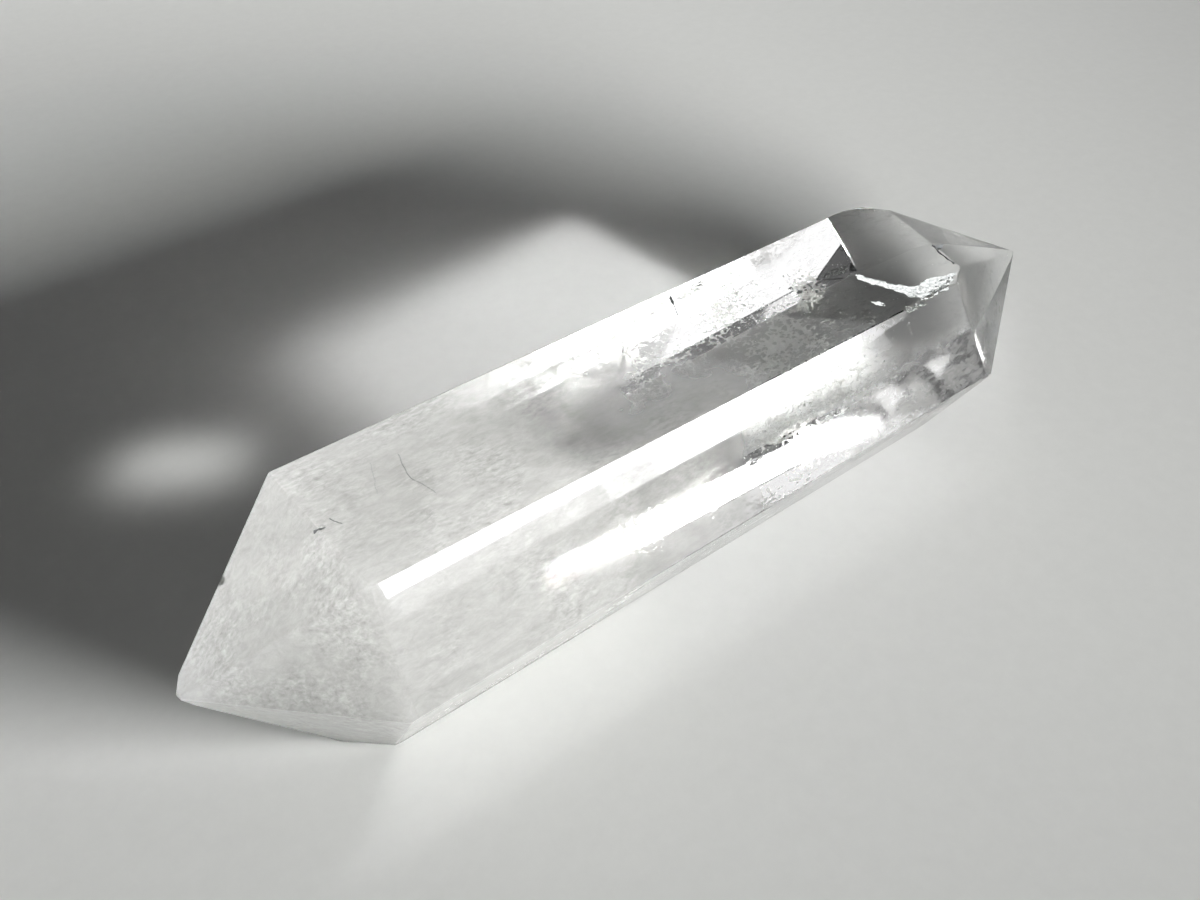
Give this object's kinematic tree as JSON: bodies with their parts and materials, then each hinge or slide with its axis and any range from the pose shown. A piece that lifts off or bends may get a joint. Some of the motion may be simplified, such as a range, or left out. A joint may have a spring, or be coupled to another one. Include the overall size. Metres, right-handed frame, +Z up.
{
  "type": "double terminated quartz point",
  "caption": "Clear six-sided quartz crystal lying on one flat side, with a faceted point at each end and fine veils inside; a loose specimen to show or hold.",
  "frame": {"origin": "middle of the crystal's outer box, at the height of the flat side that it lies on", "axes": "+X along the crystal towards its longer, clearer point; +Z up, away from the side that it lies on; +Y to the back"},
  "size_m": [0.0722, 0.019, 0.0148],
  "materials": {
    "clear_quartz": "flat-lapped and polished clear rock crystal, milky at the short point, with fine white veils inside and small chips on edges and corners"
  },
  "bodies": {
    "root": {"quartz_point": "clear_quartz"}
  },
  "joints": []
}
